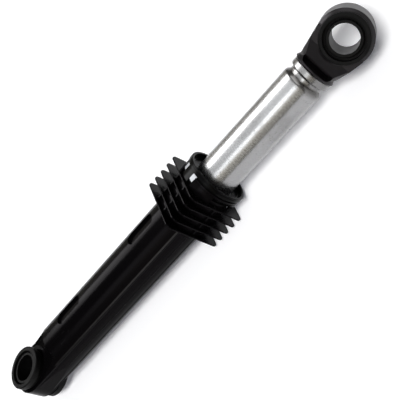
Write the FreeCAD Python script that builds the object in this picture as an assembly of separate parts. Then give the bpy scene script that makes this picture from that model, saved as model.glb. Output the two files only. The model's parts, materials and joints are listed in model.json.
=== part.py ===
import FreeCAD, Part
import math
import os

# A friction damper that steadies the tub of a washing machine: a moulded housing with an eye at its
# closed end, a steel plunger that slides and turns in it, and a second eye on the plunger's outer end.
# Millimetres. The long axis is X, from the lower eye to the upper eye. The origin is the middle of the
# lower eye's bore, whose axis is Z. The damper lies on the flats of its cooling fins.

Vector = FreeCAD.Vector
ORIGIN = Vector(0, 0, 0)
X_AXIS = Vector(1, 0, 0)
Z_AXIS = Vector(0, 0, 1)
FULL_TURN = 360.0
FLAT_TURNS = (0.0, 90.0, 180.0, 270.0)
MATCH = 0.001

# Fits
running_clearance = 0.05
seat_clearance = 0.05
loose_clearance = 0.15

# Distance between the eyes as drawn, and the upper eye's turn from the lower one
eye_distance = 214.5
upper_eye_turn = 52.3

# Lower eye, at the housing's closed end
lower_bore_radius = 6.25
lower_sleeve_wall = 1.25
lower_rubber_wall = 1.5
lower_eye_wall = 2.1
lower_eye_half = 5.0
lower_eye_chamfer = 0.3
lower_bush_half = 9.7
lower_flange_overhang = -1.0
lower_undercut = 1.8
lower_undercut_depth = 0.9
lower_face_groove = 0.65
rail_edge_round = 0.2
dish_gap = 0.5
dish_slope = 16.0

# Upper eye, on the plunger's end fitting
upper_bore_radius = 6.0
upper_sleeve_wall = 1.4
upper_rubber_wall = 1.7
upper_eye_wall = 2.45
upper_eye_half = 8.6
upper_bush_half = 10.0
upper_flange_overhang = -1.35
upper_undercut = 0.5
upper_undercut_depth = 0.5
upper_face_groove = 1.3
upper_eye_chamfer = 1.2

# Rubber bushings and their sleeves, alike in both eyes
flange_round = 0.6
sleeve_recess = 0.9
sleeve_chamfer = 0.3
face_groove_depth = 3.2

# Plunger tube
rod_radius = 9.0
rod_wall = 1.0
pull_out_travel = 23.75
shoulder_length = 1.5
shoulder_round = 2.2
neck_depth = 1.4
neck_length = 1.55
bead_rise_length = 0.8
bead_length = 2.85
bead_round = 0.6

# Housing tube
tube_start = 18.0
tube_length = 92.8
tube_bore_gap = 0.8
tube_wall = 2.1
tube_floor = 6.0
tube_end_chamfer = 2.0
parting_turns = (90.0, 270.0)
parting_bead_radius = 0.3
parting_bead_sink = 0.22

# Blind recesses that keep the tube's wall even, on its top and underside
recess_turns = (-6.0, 174.0)
recess_offsets = (14.1, 68.7)
recess_length = 17.2
recess_width = 6.6
recess_depth = 1.4

# Cooling fins around the friction lining
fin_count = 5
fin_pitch = 4.1
fin_thickness = 0.6
fin_core_wall = 1.0
fin_flat_height = 2.4
fin_corner_radius = 3.0
fin_edge_round = 0.15
web_offset = 4.05
web_rise = 1.0
web_thickness = 0.6

# Rim above the fins, with closed windows at its sides for the cap's hooks and open notches for its keys
rim_shoulder = 1.5
rim_wall = 1.0
rim_height = 4.85
rim_edge_round = 0.3
rim_band = 0.8
rim_groove_width = 0.3
rim_groove_depth = 0.2
window_sill = 0.3
window_half_width = 5.1
window_corner = 0.4
window_cut = 0.3

# Guide bush, whose flange has a lug on each side of the cap's keys
bush_flange_length = 3.1
lug_foot = 0.6
lug_inset = 0.2
lug_rise = 0.45

# Friction lining and the washer under it
chamber_floor = 1.0
lining_wall = 2.3
lining_length = 13.0
washer_thickness = 1.4
washer_bore_gap = 0.4

# End cap
cap_overhang = 0.3
cap_neck_inset = 0.7
cap_neck_length = 0.7
cap_length = 3.0
cap_groove_width = 0.25
cap_groove_depth = 0.25
lip_bead = 0.75
lip_wall = 1.3
lip_depth = 1.7
ledge_width = 1.2
cap_floor_thickness = 0.8
wiper_gap = 0.4
lip_outer_round = 0.35
lip_inner_round = 0.4
hook_thickness = 1.4
barb_length = 1.9
barb_rise = 0.95
key_half_width = 2.7
key_inset = 0.15

# Plug and guide ring at the plunger's inner end
plug_depth = 12.0
plug_flange_inset = 0.3
plug_flange_thickness = 2.0
plug_vent_radius = 2.5
ring_length = 5.0
ring_wall = 1.07
ring_running_gap = 0.08
ring_end_gap = 0.1
ring_split = 1.2

# End fitting between the plunger and the upper eye
eye_reach = 18.65
stem_depth = 18.0
stem_core_radius = 4.6
stem_core_floor = 1.6
collar_overhang = 0.5
collar_thickness = 2.1
collar_chamfer = 0.5
collar_taper = 0.75
web_base_half = 6.2
web_taper_length = 8.0
web_corner_gain = 0.55
pocket_half_width = 7.3
pocket_length = 1.95
pocket_sink = 1.0
pocket_corner = 1.8
pocket_floor = 1.5

# Radii that follow from the bores and walls
tube_bore_radius = rod_radius + tube_bore_gap
tube_radius = tube_bore_radius + tube_wall
lining_bore_radius = rod_radius + running_clearance
lining_radius = lining_bore_radius + lining_wall
chamber_radius = lining_radius + seat_clearance
fin_core_radius = chamber_radius + fin_core_wall
fin_half_side = fin_core_radius + fin_flat_height
rim_inner_radius = chamber_radius + rim_shoulder
rim_radius = rim_inner_radius + rim_wall
cap_radius = rim_radius + cap_overhang
lip_radius = cap_radius - lip_wall
throat_radius = lip_radius - ledge_width
hook_radius = rim_inner_radius - seat_clearance
hook_inner_radius = hook_radius - hook_thickness
hook_half_width = window_half_width - 2 * loose_clearance
hook_length = bush_flange_length - loose_clearance
key_radius = rim_radius - key_inset
ring_radius = tube_bore_radius - ring_running_gap
ring_bore_radius = ring_radius - ring_wall
neck_radius = rod_radius - neck_depth
collar_radius = rod_radius + collar_overhang

# Places along the axis that follow from the lengths
fin_zone_start = tube_start + tube_length
last_fin_top = fin_zone_start + (fin_count - 1) * fin_pitch + fin_thickness
rim_top = last_fin_top + rim_height
chamber_start = fin_zone_start + chamber_floor
lining_start = chamber_start + washer_thickness
bush_seat = lining_start + lining_length
flange_seat = rim_top - bush_flange_length
sill = last_fin_top + window_sill
cap_top = rim_top + cap_length
rod_outer_end = eye_distance - eye_reach
rod_inner_end = chamber_start - pull_out_travel + ring_end_gap
bead_start = rod_outer_end - bead_length
neck_end = bead_start - bead_rise_length
neck_start = neck_end - neck_length
shoulder_start = neck_start - shoulder_length
collar_top = rod_outer_end + collar_thickness


class Bushing:
    """Radii and lengths of one eye's rubber bushing and sleeve, from the bore outwards."""

    def __init__(self, bore, sleeve_wall, rubber_wall, eye_wall, eye_half, half, overhang, undercut, depth,
                 face_groove):
        self.bore = bore
        self.half = half
        self.eye_half = eye_half
        self.undercut = undercut
        self.sleeve_radius = bore + sleeve_wall
        self.rubber_bore = self.sleeve_radius + seat_clearance
        self.body_radius = self.rubber_bore + rubber_wall
        self.eye_bore = self.body_radius + seat_clearance
        self.eye_radius = self.eye_bore + eye_wall
        self.flange_radius = self.eye_radius + overhang
        self.undercut_radius = self.flange_radius - depth
        self.groove_radius = self.sleeve_radius + face_groove


LOWER = Bushing(
    lower_bore_radius, lower_sleeve_wall, lower_rubber_wall, lower_eye_wall,
    lower_eye_half, lower_bush_half, lower_flange_overhang, lower_undercut, lower_undercut_depth,
    lower_face_groove,
)
UPPER = Bushing(
    upper_bore_radius, upper_sleeve_wall, upper_rubber_wall, upper_eye_wall,
    upper_eye_half, upper_bush_half, upper_flange_overhang, upper_undercut, upper_undercut_depth,
    upper_face_groove,
)


def turned(profile, axis=X_AXIS):
    """A solid of revolution about X or Z from the corners (place along the axis, radius)."""
    if axis == X_AXIS:
        corners = [Vector(along, radius, 0) for along, radius in profile]
    else:
        corners = [Vector(radius, 0, along) for along, radius in profile]
    outline = Part.makePolygon(corners + corners[:1])
    return Part.Face(outline).revolve(ORIGIN, axis, FULL_TURN)


def pipe(start, end, inner, outer):
    """A plain ring about X."""
    return turned([(start, inner), (start, outer), (end, outer), (end, inner)])


def block(start, end, half_width, bottom, top):
    """A box from start to end along X, centred in Y, from bottom to top in Z."""
    return Part.makeBox(end - start, 2 * half_width, top - bottom, Vector(start, -half_width, bottom))


def joined(first, others):
    """One solid from pieces that run into each other."""
    return first.fuse(others).removeSplitter()


def turned_copies(shape, turns):
    """Copies of a shape, turned about the long axis."""
    copies = []
    for turn in turns:
        copy = shape.copy()
        copy.rotate(ORIGIN, X_AXIS, turn)
        copies.append(copy)
    return copies


def circles_at(shape, along, radius, axis=X_AXIS):
    """The circular edges of a turned shape at a place along its axis and at a radius."""
    found = []
    for edge in shape.Edges:
        curve = edge.Curve
        if not isinstance(curve, Part.Circle):
            continue
        if abs(curve.Center.dot(axis) - along) < MATCH and abs(curve.Radius - radius) < MATCH:
            found.append(edge)
    return found


def rounded_block(start, end, half_width, bottom, top, radius, along):
    """A block whose four edges along one direction are rounded."""
    body = block(start, end, half_width, bottom, top)
    edges = [edge for edge in body.Edges if abs(edge.tangentAt(edge.FirstParameter).dot(along)) > 1 - MATCH]
    return body.makeFillet(radius, edges)


def cooling_fins():
    """Thin square plates with rounded corners and softened edges, spaced along the lining's chamber."""
    plate = rounded_block(fin_zone_start, fin_zone_start + fin_thickness, fin_half_side, -fin_half_side,
                          fin_half_side, fin_corner_radius, X_AXIS)
    plate = plate.makeFillet(fin_edge_round, [edge for edge in plate.Edges if edge.BoundBox.XLength < MATCH])
    fins = []
    for index in range(fin_count):
        fin = plate.copy()
        fin.translate(Vector(index * fin_pitch, 0, 0))
        fins.append(fin)
    return fins


def fin_webs():
    """Low ribs that tie the fins together: a pair above and below, and one along each side."""
    top = fin_core_radius + web_rise
    webs = []
    for offset, first in ((-web_offset, 0), (web_offset, 0), (0, 1)):
        web = block(fin_zone_start, last_fin_top, web_thickness / 2, chamber_radius, top)
        web.translate(Vector(0, offset, 0))
        webs.extend(turned_copies(web, FLAT_TURNS[first::2]))
    return webs


def lower_barrel():
    """The round end that holds the lower eye's bushing."""
    return turned([
        (-LOWER.eye_half, 0),
        (-LOWER.eye_half, LOWER.eye_radius - lower_eye_chamfer),
        (-LOWER.eye_half + lower_eye_chamfer, LOWER.eye_radius),
        (LOWER.eye_half - lower_eye_chamfer, LOWER.eye_radius),
        (LOWER.eye_half, LOWER.eye_radius - lower_eye_chamfer),
        (LOWER.eye_half, 0),
    ], Z_AXIS)


def side_rails():
    """A slab as wide as the lower eye that runs on up the tube, its edges standing out as fine ridges."""
    return rounded_block(0, fin_zone_start, LOWER.eye_radius, -LOWER.eye_half, LOWER.eye_half,
                         rail_edge_round, X_AXIS)


def lower_tongue():
    """The tube's round sides carried on below its end, drawn in to the eye's width and dished around it."""
    end = tube_start + tube_floor / 2
    dish_radius = LOWER.eye_radius + dish_gap
    reach = math.hypot(end, tube_radius)
    height = LOWER.eye_half + (reach - dish_radius) * math.tan(math.radians(dish_slope))
    dish = turned([
        (-LOWER.eye_half, 0),
        (-LOWER.eye_half, dish_radius),
        (-height, reach),
        (height, reach),
        (LOWER.eye_half, dish_radius),
        (LOWER.eye_half, 0),
    ], Z_AXIS)
    outline = Part.Face(Part.makePolygon([
        Vector(0, -LOWER.eye_radius, -height),
        Vector(tube_start, -tube_radius, -height),
        Vector(end, -tube_radius, -height),
        Vector(end, tube_radius, -height),
        Vector(tube_start, tube_radius, -height),
        Vector(0, LOWER.eye_radius, -height),
        Vector(0, -LOWER.eye_radius, -height),
    ])).extrude(Vector(0, 0, 2 * height))
    return outline.common(Part.makeCylinder(tube_radius, end, ORIGIN, X_AXIS)).common(dish)


def parting_beads():
    """The fine raised lines that the mould's halves leave along the tube."""
    start = tube_start + tube_end_chamfer
    centre = tube_radius - parting_bead_sink
    bead = Part.makeCylinder(parting_bead_radius, fin_zone_start - start, Vector(start, 0, centre), X_AXIS)
    return turned_copies(bead, parting_turns)


def wall_recesses():
    """Cutters for the shallow round-ended recesses, each with a floor that follows the tube."""
    floor = Part.makeCylinder(tube_radius - recess_depth, fin_zone_start, ORIGIN, X_AXIS)
    cutters = []
    for offset in recess_offsets:
        start = tube_start + offset
        slot = rounded_block(start, start + recess_length, recess_width / 2, 0, tube_radius + recess_depth,
                             recess_width / 2 - MATCH, Z_AXIS)
        cutters.extend(turned_copies(slot.cut(floor), recess_turns))
    return cutters


def rim_openings():
    """Cutters for the rim: a closed window at each side, and an open notch above and below."""
    wall = pipe(sill, rim_top + rim_height, rim_inner_radius - window_cut, rim_radius + rim_wall)
    cutters = []
    for top, turns in ((rim_top - rim_band, FLAT_TURNS[1::2]), (rim_top + rim_height, FLAT_TURNS[::2])):
        opening = rounded_block(sill, top, window_half_width, 0, rim_radius + rim_wall, window_corner, Z_AXIS)
        cutters.extend(turned_copies(wall.common(opening), turns))
    return cutters


def housing():
    """Tube, tongue and eye, fins and rim in one moulding."""
    tube = turned([
        (tube_start, 0),
        (tube_start, tube_radius - tube_end_chamfer),
        (tube_start + tube_end_chamfer, tube_radius),
        (fin_zone_start, tube_radius),
        (fin_zone_start, fin_core_radius),
        (last_fin_top, fin_core_radius),
        (last_fin_top, rim_radius),
        (rim_top, rim_radius),
        (rim_top, 0),
    ])
    tube = tube.makeFillet(rim_edge_round, circles_at(tube, rim_top, rim_radius))
    lower_end = [lower_barrel(), side_rails(), lower_tongue()]
    body = joined(tube, lower_end + cooling_fins() + fin_webs() + parting_beads())
    hollow = turned([
        (tube_start + tube_floor, 0),
        (tube_start + tube_floor, tube_bore_radius),
        (chamber_start, tube_bore_radius),
        (chamber_start, chamber_radius),
        (flange_seat, chamber_radius),
        (flange_seat, rim_inner_radius),
        (rim_top, rim_inner_radius),
        (rim_top, 0),
    ])
    eye_hole = Part.makeCylinder(LOWER.eye_bore, 2 * LOWER.half, Vector(0, 0, -LOWER.half), Z_AXIS)
    groove_end = rim_top - rim_band
    rim_groove = pipe(groove_end - rim_groove_width, groove_end, rim_radius - rim_groove_depth,
                      rim_radius + rim_groove_depth)
    return body.cut([hollow, eye_hole, rim_groove] + wall_recesses() + rim_openings())


def end_cap():
    """The lipped ring that closes the mouth, with hooks for the windows and keys for the notches."""
    groove_end = cap_top - lip_bead
    ring = turned([
        (rim_top, rod_radius + wiper_gap),
        (rim_top, rim_radius - cap_neck_inset),
        (rim_top + cap_neck_length, rim_radius - cap_neck_inset),
        (rim_top + cap_neck_length, cap_radius),
        (groove_end - cap_groove_width, cap_radius),
        (groove_end - cap_groove_width, cap_radius - cap_groove_depth),
        (groove_end, cap_radius - cap_groove_depth),
        (groove_end, cap_radius),
        (cap_top, cap_radius),
        (cap_top, lip_radius),
        (cap_top - lip_depth, lip_radius),
        (cap_top - lip_depth, throat_radius),
        (rim_top + cap_floor_thickness, throat_radius),
        (rim_top + cap_floor_thickness, rod_radius + wiper_gap),
    ])
    outer = circles_at(ring, cap_top, cap_radius) + circles_at(ring, rim_top + cap_neck_length, cap_radius)
    ring = ring.makeFillet(lip_outer_round, outer)
    ring = ring.makeFillet(lip_inner_round, circles_at(ring, cap_top, lip_radius))
    catch = rim_top - rim_band - loose_clearance
    hook_ring = turned([
        (rim_top - hook_length, hook_inner_radius),
        (rim_top - hook_length, hook_radius),
        (catch - barb_length, hook_radius),
        (catch, hook_radius + barb_rise),
        (catch, hook_radius),
        (rim_top + cap_floor_thickness, hook_radius),
        (rim_top + cap_floor_thickness, hook_inner_radius),
    ])
    slab = block(rim_top - hook_length, rim_top + cap_floor_thickness, hook_half_width, 0, cap_radius)
    hook = hook_ring.common(slab)
    key_ring = pipe(sill + loose_clearance, rim_top + cap_neck_length + cap_floor_thickness,
                    rim_inner_radius + seat_clearance, key_radius)
    key = key_ring.common(block(sill, cap_top, key_half_width, 0, cap_radius))
    return joined(ring, turned_copies(hook, FLAT_TURNS[1::2]) + turned_copies(key, FLAT_TURNS[::2]))


def bush_lugs():
    """The lugs on the bush's flange that stand in the rim's notches, one on each side of the cap's keys."""
    foot = rim_inner_radius - seat_clearance - window_cut
    neck = rim_radius - cap_neck_inset + 2 * seat_clearance
    ring = turned([
        (flange_seat + lug_foot, foot),
        (flange_seat + lug_foot, rim_radius - lug_inset),
        (rim_top + lug_rise, rim_radius - lug_inset),
        (rim_top + lug_rise, neck),
        (rim_top, neck),
        (rim_top, foot),
    ])
    lugs = ring.common(block(flange_seat, cap_top, window_half_width - loose_clearance, 0, rim_radius))
    slot = block(flange_seat, cap_top, key_half_width + loose_clearance, 0, rim_radius)
    return turned_copies(lugs.cut(slot), FLAT_TURNS[::2])


def guide_bush():
    """The bearing that guides the plunger in the housing's mouth, cut away for the cap's hooks."""
    bush = turned([
        (bush_seat, lining_bore_radius),
        (bush_seat, lining_radius),
        (flange_seat, lining_radius),
        (flange_seat, rim_inner_radius - seat_clearance),
        (rim_top, rim_inner_radius - seat_clearance),
        (rim_top, lining_bore_radius),
    ])
    notch_ring = pipe(flange_seat, rim_top, hook_inner_radius - loose_clearance, rim_radius)
    notch = notch_ring.common(block(flange_seat, rim_top, hook_half_width + loose_clearance, 0, rim_radius))
    return joined(bush.cut(turned_copies(notch, FLAT_TURNS[1::2])), bush_lugs())


def friction_lining():
    """The greased foam ring that grips the plunger."""
    return pipe(lining_start, bush_seat, lining_bore_radius, lining_radius)


def lining_washer():
    """The washer under the lining, which also stops the plunger from pulling out."""
    return pipe(chamber_start, lining_start, rod_radius + washer_bore_gap, lining_radius)


def plunger_tube():
    """A steel tube, rolled in at its outer end to hold the end fitting."""
    tube = turned([
        (rod_inner_end, rod_radius - rod_wall),
        (rod_inner_end, rod_radius),
        (shoulder_start, rod_radius),
        (neck_start, neck_radius),
        (neck_end, neck_radius),
        (bead_start, rod_radius),
        (rod_outer_end, rod_radius),
        (rod_outer_end, rod_radius - rod_wall),
        (bead_start, rod_radius - rod_wall),
        (neck_end, neck_radius - rod_wall),
        (neck_start, neck_radius - rod_wall),
        (shoulder_start, rod_radius - rod_wall),
    ])
    tube = tube.makeFillet(shoulder_round, circles_at(tube, shoulder_start, rod_radius))
    bead_edges = circles_at(tube, bead_start, rod_radius) + circles_at(tube, rod_outer_end, rod_radius)
    return tube.makeFillet(bead_round, bead_edges)


def end_plug():
    """The plug in the plunger's inner end, with a flange that keeps the guide ring on."""
    ring_seat_end = rod_inner_end - ring_length - 2 * ring_end_gap
    seat_radius = ring_bore_radius - running_clearance
    flange_radius = tube_bore_radius - plug_flange_inset
    return turned([
        (ring_seat_end - plug_flange_thickness, plug_vent_radius),
        (ring_seat_end - plug_flange_thickness, flange_radius),
        (ring_seat_end, flange_radius),
        (ring_seat_end, seat_radius),
        (rod_inner_end, seat_radius),
        (rod_inner_end, rod_radius - rod_wall - seat_clearance),
        (rod_inner_end + plug_depth, rod_radius - rod_wall - seat_clearance),
        (rod_inner_end + plug_depth, plug_vent_radius),
    ])


def guide_ring():
    """The split ring that guides the plunger's inner end in the housing's bore."""
    end = rod_inner_end - ring_end_gap
    ring = pipe(end - ring_length, end, ring_bore_radius, ring_radius)
    return ring.cut(block(end - 2 * ring_length, end + ring_length, ring_split / 2, 0, 2 * ring_radius))


def fitting_stem():
    """The part of the end fitting inside the tube, waisted where the tube is rolled in."""
    full = rod_radius - rod_wall - seat_clearance
    waist = neck_radius - rod_wall - seat_clearance
    return turned([
        (rod_outer_end - stem_depth, stem_core_radius),
        (rod_outer_end - stem_depth, full),
        (shoulder_start - seat_clearance, full),
        (neck_start - seat_clearance, waist),
        (neck_end + seat_clearance, waist),
        (bead_start + seat_clearance, full),
        (rod_outer_end, full),
        (rod_outer_end, 0),
        (rod_outer_end - stem_core_floor, 0),
        (rod_outer_end - stem_core_floor, stem_core_radius),
    ])


def fitting_collar():
    """The disc that the tube's end stands against."""
    return turned([
        (rod_outer_end, 0),
        (rod_outer_end, collar_radius - collar_chamfer),
        (rod_outer_end + collar_chamfer, collar_radius),
        (collar_top, collar_radius - collar_taper),
        (collar_top, 0),
    ])


def fitting_web():
    """The web from the collar to the eye: it widens both ways, and its corners are rounded at the collar."""
    base = collar_radius - collar_taper
    reach = eye_distance - collar_top
    span = math.hypot(reach, base)
    lean = math.asin(UPPER.eye_radius / span) - math.atan2(base, reach)
    touch_x = eye_distance - UPPER.eye_radius * math.sin(lean)
    touch_y = UPPER.eye_radius * math.cos(lean)
    front = Part.Face(Part.makePolygon([
        Vector(collar_top, -base, -UPPER.eye_half),
        Vector(touch_x, -touch_y, -UPPER.eye_half),
        Vector(touch_x, touch_y, -UPPER.eye_half),
        Vector(collar_top, base, -UPPER.eye_half),
        Vector(collar_top, -base, -UPPER.eye_half),
    ])).extrude(Vector(0, 0, 2 * UPPER.eye_half))
    taper_end = collar_top + web_taper_length
    side = Part.Face(Part.makePolygon([
        Vector(collar_top, -UPPER.eye_radius, -web_base_half),
        Vector(taper_end, -UPPER.eye_radius, -UPPER.eye_half),
        Vector(eye_distance, -UPPER.eye_radius, -UPPER.eye_half),
        Vector(eye_distance, -UPPER.eye_radius, UPPER.eye_half),
        Vector(taper_end, -UPPER.eye_radius, UPPER.eye_half),
        Vector(collar_top, -UPPER.eye_radius, web_base_half),
        Vector(collar_top, -UPPER.eye_radius, -web_base_half),
    ])).extrude(Vector(0, 2 * UPPER.eye_radius, 0))
    cone = Part.makeCone(base, base + web_corner_gain * reach, reach, Vector(collar_top, 0, 0), X_AXIS)
    return front.common(side).common(cone)


def fitting_pocket():
    """The cutter for the deep core at the web's foot, open to one face and rounded towards the collar."""
    start = collar_top - pocket_sink
    bottom = pocket_floor - web_base_half
    core = block(start, collar_top + pocket_length, pocket_half_width, bottom, 2 * UPPER.eye_half)
    corners = [edge for edge in core.Edges
               if edge.BoundBox.XMax < start + MATCH and edge.BoundBox.ZLength > UPPER.eye_half]
    return core.makeFillet(pocket_corner, corners)


def upper_eye():
    """The moulded end fitting: stem, collar, web and eye."""
    barrel = turned([
        (-UPPER.eye_half, 0),
        (-UPPER.eye_half, UPPER.eye_radius - upper_eye_chamfer),
        (-UPPER.eye_half + upper_eye_chamfer, UPPER.eye_radius),
        (UPPER.eye_half - upper_eye_chamfer, UPPER.eye_radius),
        (UPPER.eye_half, UPPER.eye_radius - upper_eye_chamfer),
        (UPPER.eye_half, 0),
    ], Z_AXIS)
    barrel.translate(Vector(eye_distance, 0, 0))
    body = joined(fitting_collar(), [fitting_stem(), fitting_web(), barrel])
    eye_hole = Part.makeCylinder(UPPER.eye_bore, 2 * UPPER.half, Vector(eye_distance, 0, -UPPER.half), Z_AXIS)
    return body.cut([eye_hole, fitting_pocket()])


def rubber_bushing(eye):
    """A flanged rubber bushing about Z, with a groove in each face around the sleeve's end."""
    half = [
        (eye.eye_half, eye.body_radius),
        (eye.eye_half, eye.undercut_radius),
        (eye.eye_half + eye.undercut, eye.undercut_radius),
        (eye.eye_half + eye.undercut, eye.flange_radius),
        (eye.half, eye.flange_radius),
        (eye.half, eye.groove_radius),
        (eye.half - face_groove_depth, eye.groove_radius),
        (eye.half - face_groove_depth, eye.rubber_bore),
    ]
    mirrored = [(-along, radius) for along, radius in reversed(half)]
    bushing = turned(mirrored + half, Z_AXIS)
    rims = circles_at(bushing, eye.half, eye.flange_radius, Z_AXIS)
    rims += circles_at(bushing, -eye.half, eye.flange_radius, Z_AXIS)
    return bushing.makeFillet(flange_round, rims)


def eye_sleeve(eye):
    """The hard sleeve that the mounting bolt goes through, a little short of the rubber's faces."""
    half = eye.half - sleeve_recess
    return turned([
        (-half, eye.bore),
        (-half, eye.sleeve_radius - sleeve_chamfer),
        (-half + sleeve_chamfer, eye.sleeve_radius),
        (half - sleeve_chamfer, eye.sleeve_radius),
        (half, eye.sleeve_radius - sleeve_chamfer),
        (half, eye.bore),
    ], Z_AXIS)


def at_upper_eye(shape):
    """Moves a shape made about the origin to the upper eye."""
    shape.translate(Vector(eye_distance, 0, 0))
    return shape


def turned_to_rest(shape):
    """Turns a piece of the upper eye to the angle at which the plunger is drawn."""
    shape.rotate(ORIGIN, X_AXIS, upper_eye_turn)
    return shape


def main():
    pieces = {
        "housing": housing(),
        "end_cap": end_cap(),
        "guide_bush": guide_bush(),
        "friction_lining": friction_lining(),
        "lining_washer": lining_washer(),
        "lower_bushing": rubber_bushing(LOWER),
        "lower_sleeve": eye_sleeve(LOWER),
        "plunger_tube": plunger_tube(),
        "end_plug": end_plug(),
        "guide_ring": guide_ring(),
        "upper_eye": turned_to_rest(upper_eye()),
        "upper_bushing": turned_to_rest(at_upper_eye(rubber_bushing(UPPER))),
        "upper_sleeve": turned_to_rest(at_upper_eye(eye_sleeve(UPPER))),
    }
    os.makedirs("parts", exist_ok=True)
    for name, shape in pieces.items():
        shape.exportStep(f"parts/{name}.step")


main()
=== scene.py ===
import json
import math

import bpy
from mathutils import Matrix, Vector


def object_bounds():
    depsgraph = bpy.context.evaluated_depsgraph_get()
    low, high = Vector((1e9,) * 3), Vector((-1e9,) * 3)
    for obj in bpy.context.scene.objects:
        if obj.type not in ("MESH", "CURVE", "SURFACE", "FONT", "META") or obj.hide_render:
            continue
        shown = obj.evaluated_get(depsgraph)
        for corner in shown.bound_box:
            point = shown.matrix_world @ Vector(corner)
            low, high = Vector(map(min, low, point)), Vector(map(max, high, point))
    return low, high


# Looks of a washing machine's friction damper: finishes for its plastics, rubber and steel, a pale floor,
# suns that light it, boxes that shine in its gloss, and the camera. Metres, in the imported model's frame.

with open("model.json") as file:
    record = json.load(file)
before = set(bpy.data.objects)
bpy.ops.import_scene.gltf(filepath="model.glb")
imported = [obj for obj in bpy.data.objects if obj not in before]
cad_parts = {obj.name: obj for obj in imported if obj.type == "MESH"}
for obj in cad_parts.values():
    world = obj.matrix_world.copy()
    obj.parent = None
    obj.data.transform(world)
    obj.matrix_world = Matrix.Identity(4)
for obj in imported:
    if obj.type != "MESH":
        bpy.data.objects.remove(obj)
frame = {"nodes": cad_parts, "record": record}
cad_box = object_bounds()

MILLIMETRE = 0.001

# Camera, as seen from the damper: turned from -Y towards +X, raised, then rolled about its own view
CAMERA_AIM = Vector((0.12117, 0.0, -0.00169))
CAMERA_TURN = math.radians(28.64)
CAMERA_RISE = math.radians(38.22)
CAMERA_ROLL = math.radians(66.32)
CAMERA_DISTANCE = 0.38739
CAMERA_LENS = 80.86

# Floor, which the damper's fins lie on. Its faint glow shows where it is looked at, mirrored or seen through
# something, and lights nothing
FLOOR_LEVEL = cad_box[0].z
FLOOR_SIZE = 40.0
FLOOR_MOTTLE = 0.4
FLOOR_WHITES = ((0.97, 0.97, 0.97), (1.0, 1.0, 1.0))
FLOOR_GLOW = (0.105, 0.107, 0.124, 1.0)
FLOOR_GLOW_RAYS = ("Is Camera Ray", "Is Glossy Ray", "Is Transmission Ray")

# Tints of the light
NEUTRAL = (1.0, 1.0, 1.0)
WARM = (1.0, 0.95, 0.83)
COOL = (0.98, 1.0, 1.015)

# Room around the damper: its brightness at the horizon and overhead, and the height where the fade ends
SKY_EDGE = 0.12
SKY_TOP = 0.05
SKY_FADE = 0.7

# Suns, which light everything evenly: degrees of lean towards -Y, of swing towards +X and of spread
SUNS = {
    "key": {"lean": 33.5, "swing": 2.0, "spread": 26.0, "strength": 2.9},
    "fill": {"lean": 0.0, "swing": 0.0, "spread": 150.0, "strength": 0.42},
    "back": {"lean": -38.0, "swing": 0.0, "spread": 50.0, "strength": 0.44},
}

# Light boxes, which show only in gloss: degrees of lean from overhead towards +Y, then of turn about Z, how
# far they stand along X from the camera's aim, and their length and width
BOX_DISTANCE = 1.5
BOXES = {
    "back_box": {"lean": 34.5, "along": -0.43, "size": (1.4, 0.82), "radiance": 7.5, "tint": NEUTRAL},
    "back_apron": {"lean": 68.0, "along": -0.43, "size": (1.4, 0.8), "radiance": 0.4, "tint": WARM},
    "front_box": {"lean": -36.0, "along": -0.1, "size": (0.82, 0.5), "radiance": 4.8, "tint": COOL},
    "front_tail": {"lean": -36.0, "along": -0.78, "size": (0.54, 0.5), "radiance": 2.0, "tint": COOL},
    "front_skirt": {"lean": -51.0, "along": -0.1, "size": (1.6, 0.3), "radiance": 1.15, "tint": WARM},
    "front_apron": {"lean": -68.0, "along": -0.1, "size": (1.6, 0.75), "radiance": 0.55, "tint": WARM},
    "end_box": {"lean": 50.0, "along": 0.0, "size": (1.7, 1.0), "radiance": 2.6, "tint": NEUTRAL,
                "turn": -90.0},
    "ceiling": {"lean": -4.0, "along": -0.16, "size": (0.95, 1.1), "radiance": 1.5, "tint": COOL},
}

# Painted highlight, a fine pale line along the housing's tube: where it fades in and out, its height, the
# half width of its core and of its soft edge, and the stretch over which it grows clearer
HIGHLIGHT_LINE_START = 15.0 * MILLIMETRE
HIGHLIGHT_LINE_FULL = 18.0 * MILLIMETRE
HIGHLIGHT_LINE_END = 110.8 * MILLIMETRE
HIGHLIGHT_LINE_HEIGHT = 5.2 * MILLIMETRE
HIGHLIGHT_LINE_CORE = 0.2 * MILLIMETRE
HIGHLIGHT_LINE_EDGE = 0.34 * MILLIMETRE
HIGHLIGHT_LINE_GROWS = (-30.0 * MILLIMETRE, 100.0 * MILLIMETRE)

# Painted shade on the plunger: darker towards the fold of the rolled neck, and partly lifted past the fold
NECK_FOLD = 190.4 * MILLIMETRE
FOLD_SHADE_START = NECK_FOLD - 3.6 * MILLIMETRE
FOLD_SHADE_THINS = (NECK_FOLD + 0.3 * MILLIMETRE, NECK_FOLD + 1.2 * MILLIMETRE)
FOLD_SHADE_LIFTED = 0.45

# Colours that each finish goes between, and the tint of the gloss on the housing and the upper eye
# The lighter housing black is also the colour of the painted highlight line along the tube
HOUSING_BLACKS = ((0.0018, 0.0016, 0.0019), (0.025, 0.024, 0.024))
CAP_BLACKS = ((0.0008, 0.0008, 0.0009), (0.0016, 0.0016, 0.0017))
EYE_BLACKS = ((0.0018, 0.0016, 0.0019), (0.0034, 0.0032, 0.0035))
SLEEVE_BLACKS = ((0.0015, 0.0015, 0.0016), (0.0034, 0.0034, 0.0035))
RUBBER_BLACKS = ((0.002, 0.002, 0.0021), (0.0045, 0.0044, 0.0043))
BEARING_WHITES = ((0.54, 0.56, 0.6), (0.61, 0.63, 0.66))
NYLON_CREAMS = ((0.72, 0.69, 0.59), (0.8, 0.77, 0.68))
FOAM_TANS = ((0.16, 0.14, 0.1), (0.45, 0.42, 0.34))
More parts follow.
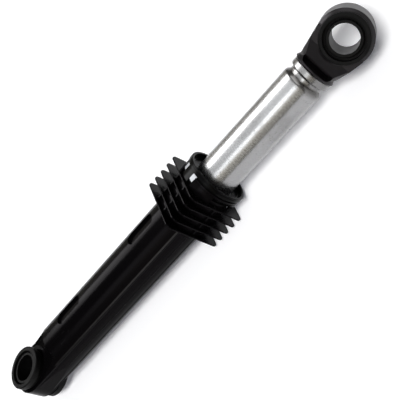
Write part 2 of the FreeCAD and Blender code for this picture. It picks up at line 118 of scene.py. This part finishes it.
# The darker plated grey is also the colour of the painted shade at the neck's fold
PLATED_GREYS = ((0.342, 0.342, 0.345), (0.07, 0.066, 0.062))
WASHER_GREYS = ((0.5, 0.5, 0.5), (0.62, 0.62, 0.62))
PLASTIC_GLOSS = (1.0, 0.94, 1.0, 1.0)

# Sockets of a Mix node for colours, whose names it also gives to other sockets
MIX_FACTOR = 0
MIX_FIRST = 6
MIX_SECOND = 7
MIX_RESULT = 2


class Link:
    """One output socket of a node tree. Arithmetic on links adds Math nodes to the same tree."""

    def __init__(self, tree, socket=None):
        self.tree = tree
        self.socket = socket

    def node(self, kind, settings=None, inputs=None, output=0):
        """Adds a node: its settings first, then the values or links of its sockets."""
        made = self.tree.nodes.new(kind)
        for name, value in (settings or {}).items():
            setattr(made, name, value)
        for name, value in (inputs or {}).items():
            if isinstance(value, Link):
                self.tree.links.new(value.socket, made.inputs[name])
            else:
                made.inputs[name].default_value = value
        return Link(self.tree, made.outputs[output] if made.outputs else None)

    def math(self, operation, first, second):
        return self.node("ShaderNodeMath", {"operation": operation}, {0: first, 1: second})

    def __add__(self, other):
        return self.math("ADD", self, other)

    def __radd__(self, other):
        return self.math("ADD", other, self)

    def __sub__(self, other):
        return self.math("SUBTRACT", self, other)

    def __rsub__(self, other):
        return self.math("SUBTRACT", other, self)

    def __mul__(self, other):
        return self.math("MULTIPLY", self, other)

    def __rmul__(self, other):
        return self.math("MULTIPLY", other, self)

    def __abs__(self):
        return self.math("ABSOLUTE", self, 0.0)

    def step(self, low, high):
        """0 below low, 1 above high and a smooth rise between, or the other way round if low is larger."""
        settings = {"interpolation_type": "SMOOTHSTEP"}
        return self.node("ShaderNodeMapRange", settings, {"Value": self, "From Min": low, "From Max": high})

    def axis(self, name):
        """One coordinate of a vector: X, Y or Z."""
        return self.node("ShaderNodeSeparateXYZ", inputs={"Vector": self}, output=name)

    def grain(self, size, detail=2.0, stretch=(1.0, 1.0, 1.0)):
        """Cloudy values about a half: features of a size in metres, drawn out along X, Y and Z."""
        scale = [1 / (size * drawn) for drawn in stretch]
        scaled = self.node("ShaderNodeMapping", inputs={"Vector": self, "Scale": scale})
        return self.node("ShaderNodeTexNoise", inputs={"Vector": scaled, "Scale": 1.0, "Detail": detail})

    def cells(self, size):
        """The distance to the nearest of many scattered points, in shares of their spacing."""
        scaled = self.node("ShaderNodeMapping", inputs={"Vector": self, "Scale": [1 / size] * 3})
        return self.node("ShaderNodeTexVoronoi", inputs={"Vector": scaled, "Scale": 1.0})

    def between(self, first, second):
        """A colour that goes from the first to the second as this value goes from 0 to 1."""
        inputs = {MIX_FACTOR: self, MIX_FIRST: (*first, 1.0), MIX_SECOND: (*second, 1.0)}
        return self.node("ShaderNodeMix", {"data_type": "RGBA"}, inputs, MIX_RESULT)

    def relief(self, depth, strength):
        """The bumped normal of a surface whose height is this value times a depth in metres."""
        return self.node("ShaderNodeBump", inputs={"Height": self, "Distance": depth, "Strength": strength})


def blank_tree(owner):
    """Empties the node tree of a material or a world, and gives a link to start from."""
    owner.use_nodes = True
    owner.node_tree.nodes.clear()
    return Link(owner.node_tree)


def moulded_housing(place):
    """Satin black plastic: the sparked grain of its mould, a few scuffs and a painted highlight line along
    the tube.
    """
    spark = place.grain(0.35 * MILLIMETRE, detail=3.0)
    cloud = place.grain(14 * MILLIMETRE, detail=3.0)
    scratches = place.grain(1.2 * MILLIMETRE, detail=4.0, stretch=(6.0, 1.0, 1.0))
    scuff = scratches.step(0.64, 0.74) * cloud.step(0.45, 0.6)
    along = place.axis("X")
    off_highlight_line = abs(place.axis("Z") - HIGHLIGHT_LINE_HEIGHT)
    on_tube = along.step(HIGHLIGHT_LINE_START, HIGHLIGHT_LINE_FULL) * along.step(HIGHLIGHT_LINE_END, HIGHLIGHT_LINE_END - MILLIMETRE)
    # Painted highlight: a pale line along the tube, clearer towards the fins
    painted_highlight_line = off_highlight_line.step(HIGHLIGHT_LINE_EDGE, HIGHLIGHT_LINE_CORE) * on_tube * along.step(*HIGHLIGHT_LINE_GROWS)
    return {
        "Base Color": (0.07 * scuff + painted_highlight_line).between(*HOUSING_BLACKS),
        "Roughness": 0.14 + 0.05 * cloud + 0.05 * spark + 0.15 * scuff,
        "Normal": spark.relief(0.02 * MILLIMETRE, strength=0.5),
    }


def moulded_cap(place):
    """Deeper black plastic of the snapped-on cap, with a finer grain."""
    spark = place.grain(0.3 * MILLIMETRE)
    cloud = place.grain(7 * MILLIMETRE, detail=3.0)
    return {
        "Base Color": cloud.between(*CAP_BLACKS),
        "Roughness": 0.16 + 0.08 * cloud,
        "Normal": spark.relief(0.012 * MILLIMETRE, strength=0.5),
    }


def moulded_eye(place):
    """Rougher black plastic of the upper eye, which looks greyer."""
    spark = place.grain(0.4 * MILLIMETRE, detail=3.0)
    cloud = place.grain(9 * MILLIMETRE, detail=3.0)
    return {
        "Base Color": cloud.between(*EYE_BLACKS),
        "Roughness": 0.34 + 0.12 * cloud + 0.06 * spark,
        "Normal": spark.relief(0.03 * MILLIMETRE, strength=0.6),
    }


def sleeve_wall(place):
    """Plain black plastic of the sleeves, with a faint skin."""
    skin = place.grain(0.5 * MILLIMETRE)
    cloud = place.grain(5 * MILLIMETRE)
    return {
        "Base Color": cloud.between(*SLEEVE_BLACKS),
        "Roughness": 0.26 + 0.14 * cloud,
        "Normal": skin.relief(0.015 * MILLIMETRE, strength=0.5),
    }


def bushing_rubber(place):
    """Matt black rubber with a dusty bloom."""
    skin = place.grain(0.25 * MILLIMETRE, detail=3.0)
    bloom = place.grain(6 * MILLIMETRE, detail=4.0).step(0.4, 0.75)
    return {
        "Base Color": bloom.between(*RUBBER_BLACKS),
        "Roughness": 0.42 + 0.15 * skin,
        "Normal": skin.relief(0.03 * MILLIMETRE, strength=0.5),
    }


def bearing_white(place):
    """White bearing plastic of the guide bush."""
    cloud = place.grain(4 * MILLIMETRE, detail=3.0)
    return {
        "Base Color": cloud.between(*BEARING_WHITES),
        "Roughness": 0.3 + 0.15 * cloud,
        "Normal": place.grain(0.3 * MILLIMETRE).relief(0.01 * MILLIMETRE, strength=0.4),
    }


def natural_nylon(place):
    """Cream nylon of the plug and guide ring."""
    cloud = place.grain(5 * MILLIMETRE, detail=3.0)
    return {
        "Base Color": cloud.between(*NYLON_CREAMS),
        "Roughness": 0.35 + 0.15 * cloud,
        "Normal": place.grain(0.3 * MILLIMETRE).relief(0.012 * MILLIMETRE, strength=0.4),
    }


def lining_foam(place):
    """Greased open-cell foam."""
    pores = place.cells(0.5 * MILLIMETRE)
    cloud = place.grain(3 * MILLIMETRE, detail=3.0)
    return {
        "Base Color": (pores * 0.7 + cloud * 0.5).between(*FOAM_TANS),
        "Roughness": 0.35 + 0.4 * cloud,
        "Normal": pores.relief(0.15 * MILLIMETRE, strength=0.8),
    }


def plated_steel(place):
    """Ground and plated steel: scratches around the tube, specks, faint stains and painted shade at the
    neck's fold.
    """
    lines = place.grain(0.12 * MILLIMETRE, stretch=(0.5, 10.0, 10.0))
    cloud = place.grain(8 * MILLIMETRE, detail=4.0, stretch=(2.5, 1.0, 1.0))
    dots = place.cells(1.1 * MILLIMETRE).step(0.26, 0.12)
    specks = dots * place.grain(3.5 * MILLIMETRE).step(0.48, 0.62)
    along = place.axis("X")
    # Painted shade: darker towards the fold of the rolled neck, partly lifted past it
    painted_fold_shade = along.step(FOLD_SHADE_START, NECK_FOLD) - FOLD_SHADE_LIFTED * along.step(*FOLD_SHADE_THINS)
    stain_and_shade = 0.48 * specks + 0.27 * cloud.step(0.48, 0.74) + 0.85 * painted_fold_shade
    return {
        "Base Color": stain_and_shade.between(*PLATED_GREYS),
        "Roughness": 0.17 + 0.05 * cloud + 0.16 * lines.step(0.4, 0.6) + 0.1 * specks,
        "Normal": (lines - 0.4 * specks).relief(0.006 * MILLIMETRE, strength=0.5),
    }


def washer_steel(place):
    """Plain stamped steel."""
    cloud = place.grain(4 * MILLIMETRE, detail=3.0)
    return {
        "Base Color": cloud.between(*WASHER_GREYS),
        "Roughness": 0.3 + 0.2 * cloud,
        "Normal": place.grain(0.4 * MILLIMETRE).relief(0.01 * MILLIMETRE, strength=0.4),
    }


# For each material slot, the recipe of what varies over the surface and what is the same all over it
FINISHES = {
    "housing_plastic": (moulded_housing, {"Specular IOR Level": 0.04, "Specular Tint": PLASTIC_GLOSS}),
    "cap_plastic": (moulded_cap, {"Specular IOR Level": 0.05}),
    "eye_plastic": (moulded_eye, {"Specular IOR Level": 0.27, "Specular Tint": PLASTIC_GLOSS}),
    "sleeve_plastic": (sleeve_wall, {"Specular IOR Level": 0.08}),
    "bushing_rubber": (bushing_rubber, {"Specular IOR Level": 0.09}),
    "white_acetal": (bearing_white, {}),
    "natural_nylon": (natural_nylon, {}),
    "lining_foam": (lining_foam, {}),
    "plunger_steel": (plated_steel, {"Metallic": 1.0}),
    "washer_steel": (washer_steel, {"Metallic": 1.0}),
}


def mix_finish(slot):
    """The material of a slot."""
    recipe, constants = FINISHES[slot]
    made = bpy.data.materials.new(slot)
    start = blank_tree(made)
    place = start.node("ShaderNodeTexCoord", output="Object")
    shader = start.node("ShaderNodeBsdfPrincipled", inputs={**constants, **recipe(place)})
    start.node("ShaderNodeOutputMaterial", inputs={"Surface": shader})
    return made


def dress_nodes():
    """Gives every node the finish of its material slot."""
    finishes = {slot: mix_finish(slot) for slot in FINISHES}
    for part in frame["record"]["subparts"]:
        mesh = frame["nodes"][part["node"]].data
        mesh.materials.clear()
        mesh.materials.append(finishes[part["material_slot"]])


def lay_floor():
    """A wide white floor of faintly mottled paper under the fins."""
    bpy.ops.object.select_all(action="DESELECT")
    bpy.ops.mesh.primitive_plane_add(size=FLOOR_SIZE, location=(CAMERA_AIM.x, 0, FLOOR_LEVEL))
    floor = bpy.context.object
    floor.name = "floor"
    paper = bpy.data.materials.new("floor_paper")
    start = blank_tree(paper)
    place = start.node("ShaderNodeTexCoord", output="Object")
    white = place.grain(FLOOR_MOTTLE).between(*FLOOR_WHITES)
    matt = start.node("ShaderNodeBsdfDiffuse", inputs={"Color": white})
    rays = [start.node("ShaderNodeLightPath", output=ray) for ray in FLOOR_GLOW_RAYS]
    glow = start.node("ShaderNodeEmission", inputs={"Color": FLOOR_GLOW, "Strength": sum(rays)})
    surface = start.node("ShaderNodeAddShader", inputs={0: matt, 1: glow})
    start.node("ShaderNodeOutputMaterial", inputs={"Surface": surface})
    floor.data.materials.append(paper)


def light_sky():
    """A dim warm room, a little paler towards the horizon."""
    world = bpy.data.worlds.new("studio")
    start = blank_tree(world)
    height = start.node("ShaderNodeTexCoord", output="Generated").axis("Z")
    level = SKY_EDGE + (SKY_TOP - SKY_EDGE) * height.step(0.0, SKY_FADE)
    room = start.node("ShaderNodeBackground", inputs={"Color": (*WARM, 1.0), "Strength": level})
    start.node("ShaderNodeOutputWorld", inputs={"Surface": room})
    bpy.context.scene.world = world


def add_object(name, data):
    """A new object in the scene that holds a light or a camera."""
    made = bpy.data.objects.new(name, data)
    bpy.context.scene.collection.objects.link(made)
    return made


def hang_sun(name, lean, swing, spread, strength):
    """A far light that falls evenly on the floor and leaves no glint."""
    light = bpy.data.lights.new(name, "SUN")
    light.energy = strength
    light.angle = math.radians(spread)
    sun = add_object(name, light)
    sun.rotation_euler = (math.radians(lean), math.radians(swing), 0)
    sun.visible_glossy = False


def hang_box(name, lean, along, size, radiance, tint, turn=0.0):
    """A soft light box that faces the damper and shows only in its gloss."""
    length, width = size
    light = bpy.data.lights.new(name, "AREA")
    light.shape = "RECTANGLE"
    light.size = length
    light.size_y = width
    light.energy = radiance * math.pi * length * width
    light.color = tint
    box = add_object(name, light)
    swing = Matrix.Rotation(math.radians(turn), 4, "Z") @ Matrix.Rotation(math.radians(-lean), 4, "X")
    offset = Matrix.Translation((CAMERA_AIM.x + along, 0, 0))
    box.matrix_world = offset @ swing @ Matrix.Translation((0, 0, BOX_DISTANCE))
    box.visible_diffuse = False


def set_camera():
    """The camera looks at the middle of the damper from above its -Y side."""
    optics = bpy.data.cameras.new("camera")
    optics.lens = CAMERA_LENS
    camera = add_object("camera", optics)
    turn = Matrix.Translation(CAMERA_AIM) @ Matrix.Rotation(CAMERA_TURN, 4, "Z")
    tip = Matrix.Rotation(math.pi / 2 - CAMERA_RISE, 4, "X")
    roll = Matrix.Rotation(-CAMERA_ROLL, 4, "Z")
    camera.matrix_world = turn @ tip @ roll @ Matrix.Translation((0, 0, CAMERA_DISTANCE))
    bpy.context.scene.camera = camera


dress_nodes()
lay_floor()
light_sky()
for name, sun in SUNS.items():
    hang_sun(name, **sun)
for name, box in BOXES.items():
    hang_box(name, **box)
set_camera()
bpy.context.scene.view_settings.view_transform = "Standard"
